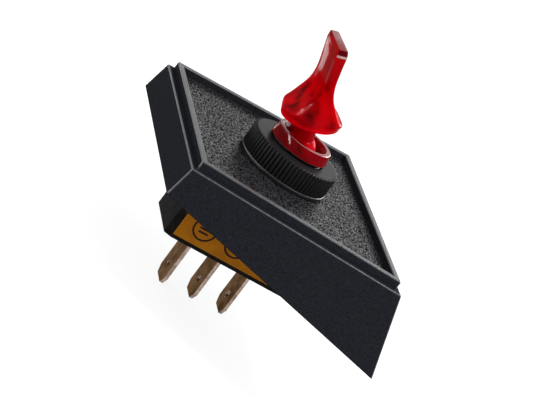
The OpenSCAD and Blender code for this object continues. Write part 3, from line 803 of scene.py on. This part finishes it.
lever_faces += [
    (top - LEVER_SIDES + j, top - LEVER_SIDES + (j + 1) % LEVER_SIDES, top) for j in range(LEVER_SIDES)
]
lever_mesh = closed_mesh("lever", lever_verts, lever_faces, LEVER,
                         red_lever, red_tip, red_ridge, red_band_glint, red_foot, red_stem, red_bore, red_lip_shade)
SKIN_TIP, SKIN_RIDGE, SKIN_BAND_GLINT, SKIN_FOOT, SKIN_STEM, SKIN_BORE, SKIN_LIP_SHADE = range(1, 8)
to_lever = LEVER.inverted()
for polygon in lever_mesh.polygons:
    at = to_lever @ polygon.center
    corner = abs((polygon.index % LEVER_SIDES + 1) / LEVER_SIDES * 4 % 1 - 0.5)
    if at.z > LEVER_L - 0.02:
        polygon.material_index = SKIN_TIP
    elif math.hypot(at.x, at.y) < BORE_SKIN_R and BORE_SKIN[0] < at.z < BORE_SKIN[1]:
        polygon.material_index = SKIN_BORE
    elif at.z < FOOT[0]:
        polygon.material_index = SKIN_STEM
    elif at.z < FOOT[1]:
        polygon.material_index = SKIN_FOOT
    elif RIDGE[0] < at.z < RIDGE[1] and corner < RIDGE_CORNER:
        polygon.material_index = SKIN_RIDGE
    # Under the tip on the narrow faces: a pale band of painted highlight, with a band of painted shade above
    # it
    elif at.z > BAND_GLINT[0] and abs(at.y) > BAND_GLINT_Y and corner > BAND_GLINT_CORNER and at.x > BAND_GLINT_X:
        polygon.material_index = SKIN_BAND_GLINT if at.z < BAND_GLINT[1] else SKIN_LIP_SHADE
smooth(lever_mesh, degrees=35)
piece("lever_bill", lever_mesh, "lever", "red_clear", "lever")

# Spring from the diode's contact disc down to the plunger, on a mesh of its own
SPRING_R = 1.64
SPRING_WIRE_R = 0.16
SPRING_LOW = -4.7
SPRING_TOP = -1.68
SPRING_TURNS = 5
SPRING_STEPS = 36
SPRING_SIDES = 10
spring_count = SPRING_TURNS * SPRING_STEPS
spring_verts = []
for i in range(spring_count + 1):
    turn = 2 * math.pi * i / SPRING_STEPS
    rise = SPRING_LOW + (SPRING_TOP - SPRING_LOW) * i / spring_count
    for j in range(SPRING_SIDES):
        side = 2 * math.pi * j / SPRING_SIDES
        r = SPRING_R + SPRING_WIRE_R * math.cos(side)
        spring_verts.append((r * math.cos(turn), r * math.sin(turn), rise + SPRING_WIRE_R * math.sin(side)))
spring_faces = ring_faces(spring_count + 1, SPRING_SIDES)
spring_faces.append(tuple(range(SPRING_SIDES)))
spring_faces.append(tuple(range(spring_count * SPRING_SIDES, (spring_count + 1) * SPRING_SIDES)))
spring_mesh = closed_mesh("spring", spring_verts, spring_faces, LEVER, spring_steel)
smooth(spring_mesh, degrees=50)
spring_coil = piece("spring_coil", spring_mesh, "lever", "spring_steel", "plunger_spring")
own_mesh(spring_coil)

# Blades, with paler metal on their cut sides and hole walls, partly bare cut metal and partly a painted
# highlight, and the inner pieces
BLADE_CUT_GLINT = 1
across = (PANEL.to_3x3() @ Vector((1, 0, 0))).normalized()
for terminal in ("supply", "load", "earth"):
    blade_copy = cad_copy(terminal + "_terminal", blade_metal, blade_cut_glint)
    blade_mesh = worked(blade_copy, bevel(width=0.14, segments=2))
    for polygon in blade_mesh.polygons:
        if abs(polygon.normal.dot(across)) < 0.5:
            polygon.material_index = BLADE_CUT_GLINT
    piece(terminal + "_blade", blade_mesh, "base", "blade_metal", terminal + "_terminal")
for node, material in (
    ("pivot_pins", brass), ("led", led_resin), ("led_contact", brass), ("plunger", brass),
    ("rocker", copper), ("moving_contact", silver), ("fixed_contact", silver),
    ("terminal_board", board_brown), ("resistor", lacquer), ("earth_strip", brass),
):
    NODES[node].data.materials.clear()
    NODES[node].data.materials.append(material)


# Stage, light and camera

def seen_by_eye(tree):
    """Factor that is 1 on what the camera sees, straight or in metal and glass."""
    path = tree.nodes.new("ShaderNodeLightPath")
    total = path.outputs["Is Camera Ray"]
    for name in ("Is Glossy Ray", "Is Transmission Ray"):
        node = tree.nodes.new("ShaderNodeMath")
        node.operation = "MAXIMUM"
        tree.links.new(total, node.inputs[0])
        tree.links.new(path.outputs[name], node.inputs[1])
        total = node.outputs[0]
    return total


SKY_COLOUR = (0.95, 0.97, 1.0, 1)
SKY_STRENGTH = 0.7
WHITE = (1, 1, 1, 1)
world = bpy.data.worlds.new("studio")
bpy.context.scene.world = world
world.use_nodes = True
tree = world.node_tree
tree.nodes.clear()
soft = tree.nodes.new("ShaderNodeBackground")
soft.inputs["Color"].default_value = SKY_COLOUR
soft.inputs["Strength"].default_value = SKY_STRENGTH
white = tree.nodes.new("ShaderNodeBackground")
white.inputs["Color"].default_value = WHITE
mix = tree.nodes.new("ShaderNodeMixShader")
output = tree.nodes.new("ShaderNodeOutputWorld")
tree.links.new(seen_by_eye(tree), mix.inputs["Fac"])
tree.links.new(soft.outputs[0], mix.inputs[1])
tree.links.new(white.outputs[0], mix.inputs[2])
tree.links.new(mix.outputs[0], output.inputs["Surface"])

FLOOR_SIZE = 6.0
FLOOR_GAP = 0.0002
FLOOR_DARK = (0.32, 0.32, 0.32)
FLOOR_PALE = (0.34, 0.34, 0.34)
FLOOR_GLOW = 0.86
FLOOR_MOTTLE = 60
floor_z = cad_low.z - FLOOR_GAP
floor_mesh = bpy.data.meshes.new("floor")
half = FLOOR_SIZE / 2
corners = [(-half, -half, floor_z), (half, -half, floor_z), (half, half, floor_z), (-half, half, floor_z)]
floor_mesh.from_pydata(corners, [], [(0, 1, 2, 3)])
floor = bpy.data.objects.new("floor", floor_mesh)
bpy.context.scene.collection.objects.link(floor)
floor_paint = Graph("floor_paint")
mottle = floor_paint.noise(FLOOR_MOTTLE, 2)
floor_paint.feed(floor_paint.ramp(mottle, (0.3, FLOOR_DARK), (0.7, FLOOR_PALE)), "Base Color")
floor_paint.fix(Roughness=0.9, Specular_IOR_Level=0.0)
glow = floor_paint.tree.nodes.new("ShaderNodeEmission")
glow.inputs["Color"].default_value = WHITE
lift = floor_paint.tree.nodes.new("ShaderNodeMath")
lift.operation = "MULTIPLY"
lift.inputs[1].default_value = FLOOR_GLOW
floor_paint.link(seen_by_eye(floor_paint.tree), lift.inputs[0])
floor_paint.link(lift.outputs[0], glow.inputs["Strength"])
both = floor_paint.tree.nodes.new("ShaderNodeAddShader")
floor_paint.link(floor_paint.shader.outputs["BSDF"], both.inputs[0])
floor_paint.link(glow.outputs["Emission"], both.inputs[1])
floor_paint.link(both.outputs["Shader"], floor_paint.output.inputs["Surface"])
floor_mesh.materials.append(floor_paint.material)


def softbox(name, where, size, watts, aim=(0, 0, 0.01), roll=0.0):
    light = bpy.data.lights.new(name, "AREA")
    light.shape = "RECTANGLE"
    light.size, light.size_y = size
    light.energy = watts
    obj = bpy.data.objects.new(name, light)
    bpy.context.scene.collection.objects.link(obj)
    obj.location = where
    facing = (Vector(aim) - Vector(where)).to_track_quat("-Z", "Y")
    obj.rotation_euler = (facing @ Quaternion((0, 0, 1), math.radians(roll))).to_euler()
    return obj


def glint(name, where, aim, size, radiance, roll=0.0):
    """Lamp that shows in glossy skins only, as a highlight."""
    lamp = softbox(name, where, size, math.pi * radiance * size[0] * size[1], aim, roll)
    lamp.visible_camera = lamp.visible_diffuse = lamp.visible_transmission = False


# Places, aims and sizes in metres
BILL_AIM = (-0.0155, 0.001, 0.0346)
softbox("key_light", where=(0.12, -0.19, 0.58), size=(0.13, 0.13), watts=2.2)
softbox("back_light", where=(0.3, 0.8, 0.42), size=(0.6, 0.3), watts=0.5)
glint("bill_glint", where=(-0.0233, 0.1118, -0.0117), aim=BILL_AIM,
      size=(0.018, 0.013), radiance=20, roll=-24.5)
glint("tip_glint", where=(-0.0369, 0.1134, -0.0033), aim=BILL_AIM,
      size=(0.024, 0.008), radiance=20, roll=16)
glint("ridge_glint", where=(-0.060, 0.002, -0.018), aim=(-0.015, -0.0048, 0.034),
      size=(0.012, 0.012), radiance=30)
glint("side_glint", where=(-0.6, 0.04, 0.02), aim=(-0.012, -0.005, 0.024),
      size=(0.9, 0.02), radiance=130)
glint("lobe_glint", where=(0.426, 0.313, 0.303), aim=(-0.0055, -0.0053, 0.027),
      size=(0.3, 0.3), radiance=20)

# Camera of the photograph, found by fitting the part's edges, in the frame of the sloping top
CAMERA_RIGHT = (0.8067, -0.1426, 0.5735)
CAMERA_UP = (-0.4594, 0.4592, 0.7603)
CAMERA_PLACE = (-131.71, -318.28, 102.97)
FOCAL_PIXELS = 1822
IMAGE_PIXELS = 550
SENSOR_MM = 36
turn = Matrix.Rotation(-TILT, 3, "Y")
right = turn @ Vector(CAMERA_RIGHT)
up = turn @ Vector(CAMERA_UP)
right.normalize()
up = (up - right * up.dot(right)).normalized()
back = right.cross(up)
camera_data = bpy.data.cameras.new("camera")
camera_data.sensor_width = SENSOR_MM
camera_data.sensor_fit = "HORIZONTAL"
camera_data.lens = FOCAL_PIXELS / IMAGE_PIXELS * SENSOR_MM
camera_data.clip_start, camera_data.clip_end = 0.01, 20
camera = bpy.data.objects.new("camera", camera_data)
bpy.context.scene.collection.objects.link(camera)
where = PANEL @ Vector(CAMERA_PLACE)
camera.matrix_world = Matrix((
    (right.x, up.x, back.x, where.x),
    (right.y, up.y, back.y, where.y),
    (right.z, up.z, back.z, where.z),
    (0, 0, 0, 1),
))
bpy.context.scene.camera = camera
bpy.context.scene.view_settings.view_transform = "Standard"
